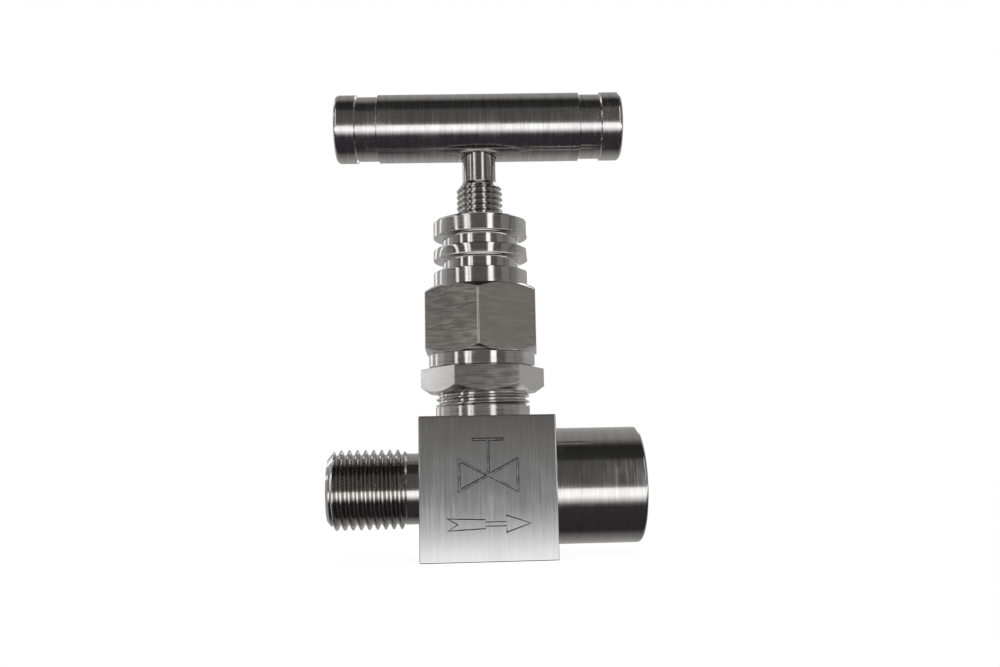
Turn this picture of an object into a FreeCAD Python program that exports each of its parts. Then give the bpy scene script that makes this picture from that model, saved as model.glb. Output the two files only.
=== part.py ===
"""Straight needle valve: G 1/4 male inlet, G 1/4 female outlet, T-bar handle, locked bonnet.

Millimetres. +X is the way the fluid flows, +Z runs up the stem, and the origin lies on the
block's flat underside, straight below the stem axis. The valve is drawn partly open.
"""

import FreeCAD
import Part
import math
import os

os.makedirs("parts", exist_ok=True)

# ---- body block, cut from square bar ----
block_length = 21.8
block_size = 22.8
block_edge = 0.25
block_joint = 1.0
flow_below_centre = 0.2

# ---- pipe threads, G 1/4 to ISO 228 ----
port_thread_dia = 13.157
port_pitch = 1.337
port_thread_depth = 0.856
port_flat_share = 1 / 6

# ---- male inlet spigot ----
spigot_length = 15.1
spigot_end_chamfer = 1.0
spigot_relief_length = 2.0
spigot_relief_depth = 0.07
inlet_bore_dia = 5.0
inlet_bore_overrun = 2.4

# ---- female outlet hub ----
hub_wall = 3.07
hub_length = 14.9
hub_edge = 0.5
port_depth = 12.6
port_plain_length = 1.6
port_mouth_chamfer = 0.35
outlet_passage_dia = 4.0
outlet_passage_rise = 9.4
drill_half_angle = 59.0

# ---- neck with the stuffing box ----
neck_thread_dia = 15.8
neck_pitch = 1.0
neck_collar_height = 2.05
neck_collar_step = 0.1
neck_collar_edge = 0.25
neck_height = 16.7
stuffing_box_dia = 10.0
stuffing_box_depth = 12.0
chamber_gap = 0.25

# ---- seat and needle ----
seat_above_flow = 3.8
orifice_dia = 4.0
seat_width = 0.3
cone_half_angle = 20.0
seat_gap = 0.03
needle_step = 0.4
needle_tip_dia = 1.0
needle_stub_dia = 2.6
needle_end_play = 0.1
needle_head_dia = 3.5
needle_head_length = 1.0

# ---- lift of the stem above the closed position ----
rest_lift = 2.75
full_lift = 5.0
lift_stop_gap = 0.1

# ---- stem ----
stem_shank_dia = 6.0
stem_foot_step = 0.5
stem_foot_height = 2.9
stem_foot_gap = 0.2
stem_socket_gap = 0.25
stem_thread_step = 0.95
stem_pitch = 1.0
stem_thread_above_roof = 2.25
stem_thread_above_bonnet = 6.4
stem_top_step = 0.1
stem_flat_depth = 0.4
thrust_ball_dia = 3.0
retainer_wall = 0.95
retainer_thickness = 0.8
retainer_drop = 0.3

# ---- packing stack ----
washer_thickness = 1.0
packing_ring_count = 3
packing_ring_height = 1.5
packing_male_height = 0.8
packing_female_height = 1.5
packing_lip_height = 0.7
packing_gap = 0.02
gland_flange_step = 1.3
gland_flange_height = 2.0
gland_take_up = 0.5

# ---- lock nut ----
lock_nut_wall = 1.2
lock_nut_height = 4.15
lock_nut_turn = 1.3
hex_chamfer_angle = 35.0
hex_face_share = 0.985

# ---- bonnet ----
bonnet_above_block = 8.3
bonnet_collar_wall = 1.15
bonnet_collar_height = 2.2
bonnet_hex_wall = 1.325
bonnet_roof_thickness = 2.7
bonnet_hex_turn = 24.0
bonnet_ring_dia = 16.15
bonnet_groove_dia = 13.0
bonnet_groove_height = 2.1
bonnet_low_ring_height = 2.87
bonnet_mid_ring_height = 1.85
bonnet_top_ring_height = 2.88
bonnet_ring_edge = 0.35

# ---- T-bar handle ----
handle_above_bonnet = 16.9
handle_dia = 11.76
handle_length = 49.4
handle_end_band = 3.75
handle_groove_width = 3.45
handle_groove_depth = 0.34
handle_groove_edge = 0.12
handle_end_round = 0.7
handle_turn = -2.9
handle_hole_gap = 0.15
handle_hole_past_axis = 2.6
handle_hole_chamfer = 0.35
handle_mouth_rise = 0.4
set_screw_dia = 4.0
set_screw_recess = 0.78
set_screw_socket_flats = 2.0
set_screw_socket_depth = 1.4

# ---- fits ----
thread_clearance = 0.05
running_clearance = 0.05
loose_clearance = 0.1
cutter_overrun = 1.0

# ---- flow arrow and valve symbol, engraved in the front face ----
engraving_depth = 0.25
engraving_line = 0.55
arrow_z = 5.85
arrow_tail_x = -6.9
arrow_notch_x = -5.1
arrow_waist_x = -0.5
arrow_head_x = 2.65
arrow_tip_x = 6.9
arrow_tail_half = 1.05
arrow_waist_half = 0.79
arrow_shaft_half = 0.42
arrow_head_half = 1.45
symbol_z = 13.4
symbol_half_width = 4.6
symbol_half_height = 2.4
symbol_stem = 5.6
symbol_bar_half = 2.3

# ---- diameters that follow from what each piece fits ----
hub_dia = port_thread_dia + 2 * hub_wall
spigot_relief_dia = port_thread_dia - 2 * port_thread_depth - 2 * spigot_relief_depth
neck_dia = neck_thread_dia + 2 * neck_collar_step
lock_nut_flats = neck_thread_dia + 2 * lock_nut_wall
bonnet_collar_dia = neck_thread_dia + 2 * bonnet_collar_wall
bonnet_hex_flats = neck_thread_dia + 2 * bonnet_hex_wall
gland_flange_dia = neck_thread_dia - 2 * gland_flange_step
stem_foot_dia = stem_shank_dia + 2 * stem_foot_step
stem_thread_dia = stem_shank_dia + 2 * stem_thread_step
stem_top_dia = stem_shank_dia - 2 * stem_top_step
chamber_dia = stem_foot_dia + 2 * chamber_gap
seat_dia = orifice_dia + 2 * seat_width
needle_dia = seat_dia + 2 * needle_step
stem_socket_dia = needle_head_dia + 2 * stem_socket_gap
handle_hole_dia = stem_top_dia + 2 * handle_hole_gap

# ---- places that follow from the sizes above ----
block_half = block_length / 2
face_y = -block_size / 2
flow_z = block_size / 2 - flow_below_centre
seat_z = flow_z + seat_above_flow
neck_top_z = block_size + neck_height
box_floor_z = neck_top_z - stuffing_box_depth
neck_thread_start_z = block_size + neck_collar_height
gland_flange_z = neck_top_z + gland_take_up
bonnet_roof_z = gland_flange_z + gland_flange_height
bonnet_bottom_z = block_size + bonnet_above_block
bonnet_hex_z = bonnet_bottom_z + bonnet_collar_height
bonnet_rings_z = bonnet_roof_z + bonnet_roof_thickness
bonnet_top_z = (bonnet_rings_z + bonnet_low_ring_height + bonnet_mid_ring_height
                + bonnet_top_ring_height + 2 * bonnet_groove_height)
cone_slope = math.tan(math.radians(cone_half_angle))
metric_depth_share = 0.5413
metric_crest_share = 1 / 8
metric_root_share = 1 / 4
stem_thread_top_z = bonnet_top_z + stem_thread_above_bonnet
stem_thread_bottom_z = bonnet_roof_z + rest_lift + stem_thread_above_roof
stem_foot_top_z = box_floor_z - full_lift - lift_stop_gap + rest_lift
stem_foot_z = stem_foot_top_z - stem_foot_height
needle_tip_z = seat_z + rest_lift + ((needle_tip_dia - seat_dia) / 2 + seat_gap) / cone_slope
needle_shoulder_z = stem_foot_z - stem_foot_gap
retainer_z = stem_foot_z + retainer_drop
needle_head_z = retainer_z + retainer_thickness + needle_end_play
ball_z = needle_head_z + needle_head_length + thrust_ball_dia / 2
stem_socket_top_z = ball_z + thrust_ball_dia / 2
handle_z = bonnet_top_z + handle_above_bonnet
handle_hole_top_z = handle_z + handle_hole_past_axis

up = FreeCAD.Vector(0, 0, 1)
along = FreeCAD.Vector(1, 0, 0)
backward = FreeCAD.Vector(0, 1, 0)
origin = FreeCAD.Vector(0, 0, 0)


def save(name, shape):
    """Write one piece to its own file."""
    shape.exportStep("parts/" + name + ".step")


def face_of(points):
    """A flat face inside a closed outline of points."""
    return Part.Face(Part.makePolygon(points + points[:1]))


def turn_up(outline):
    """A solid turned about the stem axis from (radius, height) points."""
    return face_of([FreeCAD.Vector(r, 0, z) for r, z in outline]).revolve(origin, up, 360)


def turn_along(outline, height=0.0):
    """A solid turned about a line along X at the given height, from (radius, distance) points."""
    axis_point = FreeCAD.Vector(0, 0, height)
    points = [FreeCAD.Vector(x, 0, height + r) for r, x in outline]
    return face_of(points).revolve(axis_point, along, 360)


def bore_up(diameter, low, high):
    """A round bar on the stem axis between two heights."""
    return Part.makeCylinder(diameter / 2, high - low, FreeCAD.Vector(0, 0, low), up)


def ring_up(outer_dia, inner_dia, low, high):
    """A flat ring on the stem axis between two heights."""
    hole = bore_up(inner_dia, low - cutter_overrun, high + cutter_overrun)
    return bore_up(outer_dia, low, high).cut(hole)


def thread_line(crest_r, depth, pitch, crest_share, root_share, start, stop):
    """(radius, distance) points of a row of thread ridges from start to stop, whole turns only."""
    root_r = crest_r - depth
    crest = pitch * crest_share
    root = pitch * root_share
    flank = (pitch - crest - root) / 2
    turns = int((stop - start) / pitch + 1e-6)
    points = []
    for turn in range(turns):
        base = start + turn * pitch + root / 2
        points += [(root_r, base), (crest_r, base + flank)]
        points += [(crest_r, base + flank + crest), (root_r, base + 2 * flank + crest)]
    return points


def metric_line(crest_r, pitch, start, stop):
    """Ridges of a metric thread."""
    return thread_line(crest_r, metric_depth_share * pitch, pitch,
                       metric_crest_share, metric_root_share, start, stop)


def pipe_line(start, stop):
    """Ridges of the pipe thread that both ports use."""
    return thread_line(port_thread_dia / 2, port_thread_depth, port_pitch,
                       port_flat_share, port_flat_share, start, stop)


def hexagon_bar(across_flats, low, high, turn):
    """A hexagonal bar on the stem axis, with one corner at the given angle from +X."""
    corner_r = across_flats / math.sqrt(3)
    angles = [math.radians(turn + 60 * side) for side in range(6)]
    corners = [FreeCAD.Vector(corner_r * math.cos(a), corner_r * math.sin(a), low) for a in angles]
    return face_of(corners).extrude(up * (high - low))


def chamfered_hexagon(across_flats, low, high, turn):
    """A hexagonal bar whose corners are turned off to a cone at both ends."""
    flat_r = hex_face_share * across_flats / 2
    corner_r = across_flats / math.sqrt(3) + cutter_overrun
    drop = (corner_r - flat_r) * math.tan(math.radians(hex_chamfer_angle))
    cone = turn_up([(0, low), (flat_r, low), (corner_r, low + drop),
                    (corner_r, high - drop), (flat_r, high), (0, high)])
    return hexagon_bar(across_flats, low, high, turn).common(cone)


def neck_thread_tool(high):
    """The neck's thread grown by its clearance, for cutting what screws onto it."""
    line = metric_line(neck_thread_dia / 2 + thread_clearance, neck_pitch, neck_thread_start_z, high)
    root_r = line[0][0]
    return turn_up([(0, neck_thread_start_z), (root_r, neck_thread_start_z)] + line
                   + [(root_r, high), (0, high)])


def body_block():
    """The square block with its edges broken."""
    corner = FreeCAD.Vector(-block_half, face_y, 0)
    block = Part.makeBox(block_length, block_size, block_size, corner)
    return block.makeChamfer(block_edge, block.Edges)


def inlet_spigot():
    """The male end: an end chamfer, the thread and a relief next to the block."""
    root_r = port_thread_dia / 2 - port_thread_depth
    end = -block_half - spigot_length
    thread_start = end + spigot_end_chamfer
    relief_start = -block_half - spigot_relief_length
    line = pipe_line(thread_start, relief_start)
    front_r = root_r - spigot_end_chamfer / 2
    outline = [(0, end), (front_r, end), (root_r, thread_start)] + line
    outline += [(root_r, relief_start), (spigot_relief_dia / 2, relief_start)]
    outline += [(spigot_relief_dia / 2, block_joint - block_half), (0, block_joint - block_half)]
    return turn_along(outline, flow_z)


def outlet_hub():
    """The plain round hub that holds the female thread."""
    end = block_half + hub_length
    outline = [(0, block_half - block_joint), (hub_dia / 2, block_half - block_joint),
               (hub_dia / 2, end - hub_edge), (hub_dia / 2 - hub_edge, end), (0, end)]
    return turn_along(outline, flow_z)


def outlet_port():
    """The female thread's hollow, with its mouth chamfer and the drill's cone at the bottom."""
    mouth = block_half + hub_length
    floor = mouth - port_depth
    crest_r = port_thread_dia / 2
    root_r = crest_r - port_thread_depth
    mouth_r = crest_r + port_mouth_chamfer
    mouth_depth = mouth_r - root_r
    line = pipe_line(floor + port_plain_length, mouth - mouth_depth)
    cone = root_r / math.tan(math.radians(drill_half_angle))
    outline = [(0, floor - cone), (root_r, floor)] + line
    outline += [(root_r, mouth - mouth_depth), (mouth_r, mouth),
                (mouth_r, mouth + cutter_overrun), (0, mouth + cutter_overrun)]
    return turn_along(outline, flow_z)


def flow_passages():
    """Inlet bore, orifice with its seat, stem chamber and the slanting way out."""
    inlet_r = inlet_bore_dia / 2
    start_x = -block_half - spigot_length - cutter_overrun
    inlet = Part.makeCylinder(inlet_r, inlet_bore_overrun - start_x,
                              FreeCAD.Vector(start_x, 0, flow_z), along)
    tip = Part.makeCone(inlet_r, 0, inlet_r / math.tan(math.radians(drill_half_angle)),
                        FreeCAD.Vector(inlet_bore_overrun, 0, flow_z), along)
    seat_drop = seat_width / cone_slope
    open_z = neck_top_z + cutter_overrun
    upright = turn_up([(0, flow_z), (orifice_dia / 2, flow_z), (orifice_dia / 2, seat_z - seat_drop),
                       (seat_dia / 2, seat_z), (chamber_dia / 2, seat_z),
                       (chamber_dia / 2, box_floor_z), (stuffing_box_dia / 2, box_floor_z),
                       (stuffing_box_dia / 2, open_z), (0, open_z)])
    port_floor = FreeCAD.Vector(block_half + hub_length - port_depth, 0, flow_z)
    chamber_point = FreeCAD.Vector(0, 0, flow_z + outlet_passage_rise)
    slant = chamber_point - port_floor
    outlet = Part.makeCylinder(outlet_passage_dia / 2, slant.Length, port_floor, slant)
    return inlet.fuse([tip, upright, outlet])


def threaded_neck():
    """The neck: a plain collar at the block and a metric thread above it."""
    crest_r = neck_thread_dia / 2
    line = metric_line(crest_r, neck_pitch, neck_thread_start_z, neck_top_z)
    root_r = line[0][0]
    collar_r = neck_dia / 2
    outline = [(0, block_size - block_joint), (collar_r, block_size - block_joint),
               (collar_r, neck_thread_start_z - neck_collar_edge),
               (collar_r - neck_collar_edge, neck_thread_start_z), (root_r, neck_thread_start_z)]
    outline += line + [(root_r, neck_top_z), (0, neck_top_z)]
    return turn_up(outline)


def groove(points):
    """A pocket in the block's front face inside (x, z) points."""
    outline = [FreeCAD.Vector(x, face_y - cutter_overrun, z) for x, z in points]
    return face_of(outline).extrude(FreeCAD.Vector(0, cutter_overrun + engraving_depth, 0))


def stroke(start, stop):
    """A straight engraved line between two (x, z) points."""
    run, rise = stop[0] - start[0], stop[1] - start[1]
    scale = engraving_line / 2 / math.hypot(run, rise)
    side_x, side_z = -rise * scale, run * scale
    end_x, end_z = run * scale, rise * scale
    return groove([(start[0] - end_x + side_x, start[1] - end_z + side_z),
                   (start[0] - end_x - side_x, start[1] - end_z - side_z),
                   (stop[0] + end_x - side_x, stop[1] + end_z - side_z),
                   (stop[0] + end_x + side_x, stop[1] + end_z + side_z)])


def flow_arrow():
    """The feathered arrow that points the way the fluid goes."""
    upper = [(arrow_tail_x, arrow_tail_half), (arrow_waist_x, arrow_waist_half),
             (arrow_waist_x, arrow_shaft_half), (arrow_head_x, arrow_shaft_half),
             (arrow_head_x, arrow_head_half)]
    lower = [(x, -z) for x, z in reversed(upper)]
    outline = upper + [(arrow_tip_x, 0)] + lower + [(arrow_notch_x, 0)]
    return groove([(x, arrow_z + z) for x, z in outline])


def valve_symbol():
    """The plain drawing-office sign for a hand valve: two triangles, a stem and a bar."""
    half, low, high = symbol_half_width, symbol_z - symbol_half_height, symbol_z + symbol_half_height
    bar_z = symbol_z + symbol_stem
    corners = [(-half, low), (half, high), (half, low), (-half, high)]
    lines = [stroke(corners[i - 1], corners[i]) for i in range(len(corners))]
    lines.append(stroke((0, symbol_z), (0, bar_z)))
    lines.append(stroke((-symbol_bar_half, bar_z), (symbol_bar_half, bar_z)))
    return lines[0].fuse(lines[1:])


def valve_body():
    """One piece: block, male spigot, female hub and neck, bored and engraved."""
    solid = body_block().fuse([inlet_spigot(), outlet_hub(), threaded_neck()])
    solid = solid.cut([flow_passages(), outlet_port()])
    return solid.cut([flow_arrow(), valve_symbol()])


def lock_nut():
    """The thin hexagon nut that jams up against the bonnet."""
    low = bonnet_bottom_z - lock_nut_height
    nut = chamfered_hexagon(lock_nut_flats, low, bonnet_bottom_z, lock_nut_turn)
    return nut.cut(neck_thread_tool(neck_top_z))


def ring_line(low, high):
    """(radius, height) points of one bonnet ring with its edges broken."""
    outer_r = bonnet_ring_dia / 2
    inner_r = outer_r - bonnet_ring_edge
    return [(inner_r, low), (outer_r, low + bonnet_ring_edge),
            (outer_r, high - bonnet_ring_edge), (inner_r, high)]


def bonnet():
    """The cap on the neck: a collar, a hexagon and three turned rings round the stem's thread."""
    collar_r, groove_r = bonnet_collar_dia / 2, bonnet_groove_dia / 2
    low_top = bonnet_rings_z + bonnet_low_ring_height
    mid_low = low_top + bonnet_groove_height
    mid_top = mid_low + bonnet_mid_ring_height
    top_low = mid_top + bonnet_groove_height
    outline = [(0, bonnet_bottom_z), (collar_r, bonnet_bottom_z), (collar_r, bonnet_hex_z)]
    outline += ring_line(bonnet_hex_z, low_top) + [(groove_r, low_top), (groove_r, mid_low)]
    outline += ring_line(mid_low, mid_top) + [(groove_r, mid_top), (groove_r, top_low)]
    outline += ring_line(top_low, bonnet_top_z) + [(0, bonnet_top_z)]
    hexagon = chamfered_hexagon(bonnet_hex_flats, bonnet_hex_z, bonnet_rings_z, bonnet_hex_turn)
    solid = turn_up(outline).fuse(hexagon)
    relief = bore_up(neck_thread_dia + 2 * thread_clearance, neck_top_z - neck_pitch, bonnet_roof_z)
    stem_bore = bore_up(stem_thread_dia + 2 * running_clearance,
                        bonnet_roof_z - cutter_overrun, bonnet_top_z + cutter_overrun)
    return solid.cut([neck_thread_tool(neck_top_z), relief, stem_bore])


def lipped_ring(low, height, lip_below, lip_above):
    """A packing ring with a roof-shaped groove below, a roof-shaped ridge above, or both."""
    outer_r = stuffing_box_dia / 2 - running_clearance
    inner_r = stem_shank_dia / 2 + running_clearance
    middle_r = (outer_r + inner_r) / 2
    high = low + height
    return turn_up([(inner_r, low), (middle_r, low + lip_below), (outer_r, low),
                    (outer_r, high), (middle_r, high + lip_above), (inner_r, high)])


def packing_stack():
    """The washers, packing rings and gland around the stem, from the bottom up, by name."""
    outer_dia = stuffing_box_dia - 2 * running_clearance
    inner_dia = stem_shank_dia + 2 * running_clearance
    lip = packing_lip_height
    pieces = {}
    level = box_floor_z
    pieces["lower_packing_washer"] = ring_up(outer_dia, inner_dia, level, level + washer_thickness)
    level += washer_thickness
    pieces["packing_male_ring"] = lipped_ring(level, packing_male_height, 0, lip)
    level += packing_male_height + packing_gap
    for number in range(1, packing_ring_count + 1):
        pieces["packing_ring_%d" % number] = lipped_ring(level, packing_ring_height, lip, lip)
        level += packing_ring_height + packing_gap
    pieces["packing_female_ring"] = lipped_ring(level, packing_female_height, lip, 0)
    level += packing_female_height
    pieces["upper_packing_washer"] = ring_up(outer_dia, inner_dia, level, level + washer_thickness)
    level += washer_thickness
    sleeve = ring_up(outer_dia, inner_dia, level, gland_flange_z)
    flange = ring_up(gland_flange_dia, inner_dia, gland_flange_z, bonnet_roof_z)
    pieces["gland_follower"] = sleeve.fuse(flange).removeSplitter()
    return pieces


def needle():
    """The cone that meets the seat, with the stub and head that hang it in the stem's foot."""
    cone_top_z = needle_tip_z + (needle_dia - needle_tip_dia) / 2 / cone_slope
    head_top_z = needle_head_z + needle_head_length
    return turn_up([(0, needle_tip_z), (needle_tip_dia / 2, needle_tip_z), (needle_dia / 2, cone_top_z),
                    (needle_dia / 2, needle_shoulder_z), (needle_stub_dia / 2, needle_shoulder_z),
                    (needle_stub_dia / 2, needle_head_z), (needle_head_dia / 2, needle_head_z),
                    (needle_head_dia / 2, head_top_z), (0, head_top_z)])


def thrust_ball():
    """The ball that presses the needle down without turning it."""
    return Part.makeSphere(thrust_ball_dia / 2, FreeCAD.Vector(0, 0, ball_z))


def retainer_zone(inner_dia, growth):
    """The ring-shaped space of the needle's retaining ring, grown by a clearance."""
    outer_dia = needle_stub_dia + 2 * loose_clearance + 2 * retainer_wall + 2 * growth
    return ring_up(outer_dia, inner_dia, retainer_z - growth, retainer_z + retainer_thickness + growth)


def stem():
    """Foot with the needle's socket, packed shank, operating thread and the plain top."""
    shank_r = stem_shank_dia / 2
    line = metric_line(stem_thread_dia / 2, stem_pitch, stem_thread_bottom_z, stem_thread_top_z)
    root_r = line[0][0]
    top_r = stem_top_dia / 2
    top_z = handle_hole_top_z - loose_clearance
    outline = [(0, stem_foot_z), (stem_foot_dia / 2, stem_foot_z),
               (stem_foot_dia / 2, stem_foot_top_z), (shank_r, stem_foot_top_z),
               (shank_r, stem_thread_bottom_z - root_r + shank_r), (root_r, stem_thread_bottom_z)]
    outline += line + [(root_r, stem_thread_top_z), (top_r, stem_thread_top_z + root_r - top_r)]
    outline += [(top_r, top_z), (0, top_z)]
    socket = bore_up(stem_socket_dia, stem_foot_z - cutter_overrun, stem_socket_top_z)
    flat_y = top_r - stem_flat_depth
    flat = Part.makeBox(2 * top_r, top_r, 2 * handle_hole_past_axis,
                        FreeCAD.Vector(-top_r, flat_y, handle_z - handle_hole_past_axis))
    flat.rotate(origin, up, handle_turn)
    return turn_up(outline).cut([socket, retainer_zone(needle_stub_dia, thread_clearance), flat])


def handle_bar():
    """The T-bar: a turned bar with a groove near each end, cross-drilled for the stem and a screw."""
    bar_r = handle_dia / 2
    half = handle_length / 2
    groove_out = half - handle_end_band
    groove_in = groove_out - handle_groove_width
    groove_r, edge = bar_r - handle_groove_depth, handle_groove_edge
    right = [(bar_r, groove_in - edge), (groove_r, groove_in),
             (groove_r, groove_out), (bar_r, groove_out + edge)]
    left = [(r, -x) for r, x in reversed(right)]
    outline = [(0, -half), (bar_r, -half)] + left + right + [(bar_r, half), (0, half)]
    bar = turn_along(outline)
    rims = [e for e in bar.Edges if abs(abs(e.CenterOfMass.x) - half) < 1e-6 and e.Length > bar_r]
    bar = bar.makeFillet(handle_end_round, rims)
    hole_r = handle_hole_dia / 2
    stem_hole = bore_up(handle_hole_dia, -bar_r - cutter_overrun, handle_hole_past_axis)
    mouth_depth = handle_hole_chamfer + cutter_overrun
    mouth = Part.makeCone(hole_r + mouth_depth, hole_r, mouth_depth,
                          FreeCAD.Vector(0, 0, handle_mouth_rise - bar_r - cutter_overrun), up)
    screw_hole = Part.makeCylinder(set_screw_dia / 2 + thread_clearance, bar_r + cutter_overrun,
                                   origin, backward)
    bar = bar.cut([stem_hole, mouth, screw_hole])
    bar.rotate(origin, up, handle_turn)
    bar.translate(FreeCAD.Vector(0, 0, handle_z))
    return bar


def handle_set_screw():
    """The socket screw at the back that pins the bar on the stem's flat."""
    start_y = stem_top_dia / 2 - stem_flat_depth
    end_y = handle_dia / 2 - set_screw_recess
    screw = Part.makeCylinder(set_screw_dia / 2, end_y - start_y, backward * start_y, backward)
    corner_r = set_screw_socket_flats / math.sqrt(3)
    angles = [math.radians(60 * side) for side in range(6)]
    floor_y = end_y - set_screw_socket_depth
    corners = [FreeCAD.Vector(corner_r * math.cos(a), floor_y, corner_r * math.sin(a)) for a in angles]
    depth = set_screw_socket_depth + cutter_overrun
    screw = screw.cut(face_of(corners).extrude(backward * depth))
    screw.rotate(origin, up, handle_turn)
    screw.translate(FreeCAD.Vector(0, 0, handle_z))
    return screw


pieces = {
    "valve_body": valve_body(),
    "lock_nut": lock_nut(),
    "bonnet": bonnet(),
    "needle": needle(),
    "thrust_ball": thrust_ball(),
    "needle_retainer": retainer_zone(needle_stub_dia + 2 * loose_clearance, 0.0),
    "stem": stem(),
    "handle_bar": handle_bar(),
    "handle_set_screw": handle_set_screw(),
}
pieces.update(packing_stack())

for name, shape in pieces.items():
    save(name, shape)
    print(name, shape.ShapeType, len(shape.Solids), round(shape.Volume, 1), shape.isValid())
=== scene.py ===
"""Straight needle valve in stainless steel, put together in the order that a fitter would."""

import math

import bpy
from mathutils import Matrix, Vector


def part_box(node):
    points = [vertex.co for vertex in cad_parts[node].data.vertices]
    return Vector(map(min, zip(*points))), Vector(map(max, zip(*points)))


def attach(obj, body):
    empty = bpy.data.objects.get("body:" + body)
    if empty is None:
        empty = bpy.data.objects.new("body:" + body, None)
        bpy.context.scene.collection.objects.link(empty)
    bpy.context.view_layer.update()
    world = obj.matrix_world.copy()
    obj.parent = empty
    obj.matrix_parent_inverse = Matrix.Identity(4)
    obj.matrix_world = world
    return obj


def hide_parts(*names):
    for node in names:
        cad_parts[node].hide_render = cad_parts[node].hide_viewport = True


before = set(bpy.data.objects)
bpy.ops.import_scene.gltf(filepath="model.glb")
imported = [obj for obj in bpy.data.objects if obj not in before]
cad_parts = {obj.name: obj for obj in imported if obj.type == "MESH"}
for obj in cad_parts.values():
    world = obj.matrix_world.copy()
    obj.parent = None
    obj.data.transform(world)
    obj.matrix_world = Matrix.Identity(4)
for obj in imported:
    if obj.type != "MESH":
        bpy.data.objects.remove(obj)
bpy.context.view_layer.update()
bpy.ops.object.select_all(action="DESELECT")


# ============================================================================================
# Valve body. One piece of stainless steel: square bar milled to a block, with the male inlet,
# the female outlet and the neck turned on it and their threads cut. The flow arrow and the
# drawing-office sign for a hand valve are engraved in the front face.
# ============================================================================================
metre = 1000
body_low, body_high = (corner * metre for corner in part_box("valve_body"))
block_size = body_high.y - body_low.y
block_half = 10.9
block_edge = 0.25
flow_z = 11.2
face_y = -block_size / 2


def make_active(piece):
    """Leave just this piece selected, as the one that the next tool works on."""
    bpy.ops.object.select_all(action="DESELECT")
    piece.select_set(True)
    bpy.context.view_layer.objects.active = piece


def turned(name, outline, sides=160):
    """A closed bar about Z, drawn out step by step through (radius, height) points."""
    radius, height = outline[0]
    bpy.ops.mesh.primitive_circle_add(vertices=sides, radius=radius, fill_type="NGON",
                                      location=(0, 0, height))
    piece = bpy.context.object
    piece.name = name
    bpy.ops.object.transform_apply(location=True)
    bpy.ops.object.mode_set(mode="EDIT")
    for next_radius, next_height in outline[1:]:
        rise = {"value": (0, 0, next_height - height)}
        bpy.ops.mesh.extrude_region_move(TRANSFORM_OT_translate=rise)
        swell = next_radius / radius
        bpy.ops.transform.resize(value=(swell, swell, 1), center_override=(0, 0, next_height))
        radius, height = next_radius, next_height
    bpy.ops.mesh.select_all(action="SELECT")
    bpy.ops.mesh.normals_make_consistent(inside=False)
    bpy.ops.object.mode_set(mode="OBJECT")
    return piece


def apply_modifier(piece, kind, **settings):
    """Add one modifier with its settings and apply it."""
    make_active(piece)
    modifier = piece.modifiers.new(kind.lower(), kind)
    for setting, value in settings.items():
        setattr(modifier, setting, value)
    bpy.ops.object.modifier_apply(modifier=modifier.name)


def threaded(name, crest_r, depth, pitch, flats, low, high, crest_at, sides=128):
    """A right-hand threaded bar about Z: one pitch of the ridge, wound up and cut off flat."""
    crest, root = flats
    flank = (pitch - crest - root) / 2
    turns_below = math.ceil((crest_at - low) / pitch) + 2
    start = crest_at - crest / 2 - flank - turns_below * pitch
    bpy.ops.mesh.primitive_plane_add(size=pitch, location=(crest_r - depth, 0, start))
    piece = bpy.context.object
    piece.name = name
    bpy.ops.object.transform_apply(location=True)
    bpy.ops.object.mode_set(mode="EDIT")
    bpy.ops.mesh.select_mode(type="VERT")
    bpy.ops.mesh.select_all(action="SELECT")
    bpy.ops.mesh.merge(type="CENTER")
    for out, rise in ((depth, flank), (0, crest), (-depth, flank), (0, root)):
        bpy.ops.mesh.extrude_region_move(TRANSFORM_OT_translate={"value": (out, 0, rise)})
    bpy.ops.object.mode_set(mode="OBJECT")
    turns = math.ceil((high - start) / pitch) + 2
    apply_modifier(piece, "SCREW", angle=2 * math.pi, screw_offset=pitch, iterations=turns,
                   steps=sides, render_steps=sides)
    bpy.ops.object.mode_set(mode="EDIT")
    bpy.ops.mesh.select_all(action="SELECT")
    bpy.ops.mesh.remove_doubles(threshold=1e-3)
    for height, keep_above in ((low, True), (high, False)):
        bpy.ops.mesh.select_all(action="SELECT")
        bpy.ops.mesh.bisect(plane_co=(0, 0, height), plane_no=(0, 0, 1), use_fill=True,
                            clear_inner=keep_above, clear_outer=not keep_above,
                            threshold=1e-4)
    bpy.ops.mesh.select_all(action="SELECT")
    bpy.ops.mesh.remove_doubles(threshold=1e-4)
    bpy.ops.mesh.normals_make_consistent(inside=False)
    bpy.ops.object.mode_set(mode="OBJECT")
    return piece


def combine(piece, tool, operation):
    """Weld a tool shape on, cut it away, or keep what both share; the tool is used up."""
    apply_modifier(piece, "BOOLEAN", object=tool, operation=operation, solver="EXACT")
    bpy.data.objects.remove(tool)


def lay_along(piece, toward, height):
    """Turn a piece made about Z so that it points along +X or -X, at a height."""
    make_active(piece)
    piece.rotation_euler.y = toward * math.pi / 2
    piece.location.z = height
    bpy.ops.object.transform_apply(location=True, rotation=True)


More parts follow.
